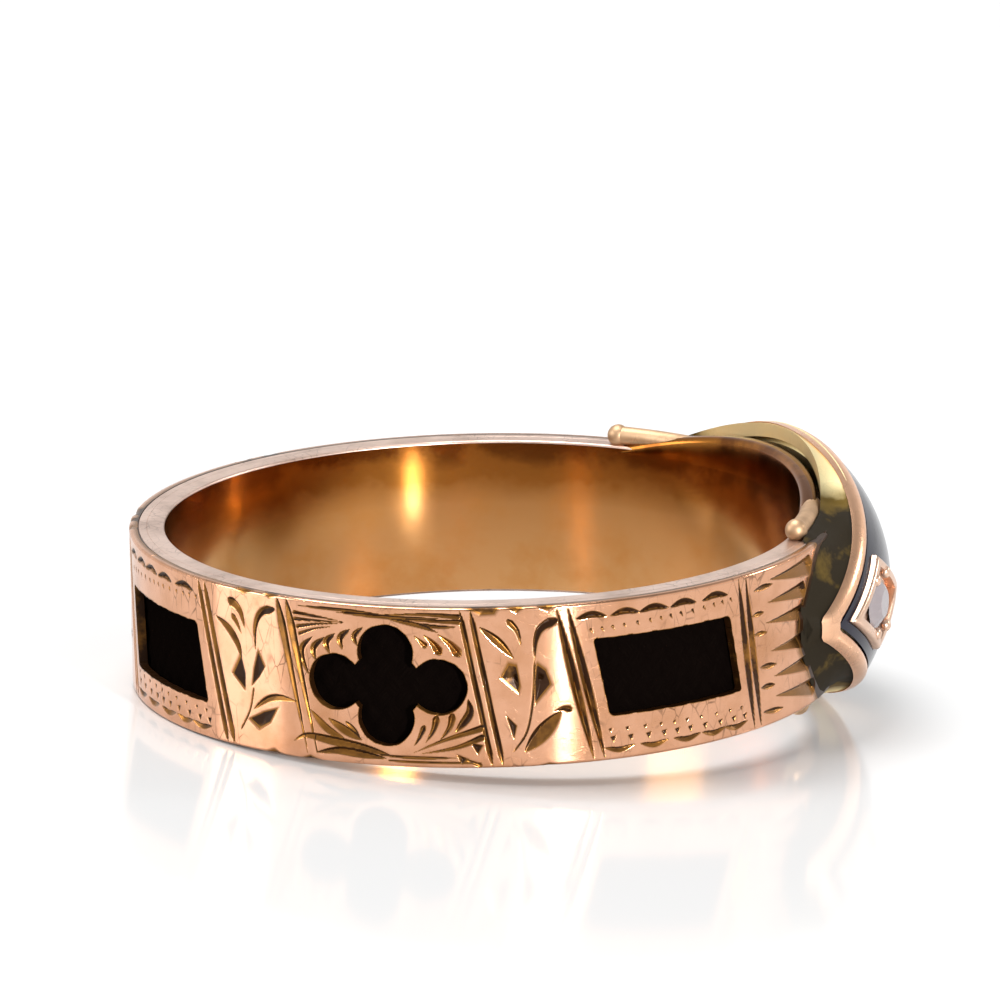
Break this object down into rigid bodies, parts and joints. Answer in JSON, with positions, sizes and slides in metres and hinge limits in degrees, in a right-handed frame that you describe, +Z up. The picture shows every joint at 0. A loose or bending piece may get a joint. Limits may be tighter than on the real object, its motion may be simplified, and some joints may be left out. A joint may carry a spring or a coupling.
{
  "type": "mourning ring",
  "caption": "Pierced and engraved gold finger ring over woven hair, with a domed black enamel head and white stones in lozenge settings, lying on its side.",
  "frame": {"origin": "centre of the finger hole, halfway along it", "axes": "+Z up from the surface that the ring lies on, +X towards the head, which is raised a little because its side is what rests; the finger hole's axis leans from +Z by the resting tilt"},
  "size_m": [0.0223, 0.02, 0.0075],
  "materials": {
    "gold": "polished",
    "hair": "satin",
    "enamel": "gloss",
    "stone": "polished"
  },
  "bodies": {
    "root": {"gold_ring": "gold", "hair_strip": "hair", "enamel_field": "enamel", "stone_near": "stone", "stone_middle": "stone", "stone_far": "stone"}
  },
  "joints": []
}
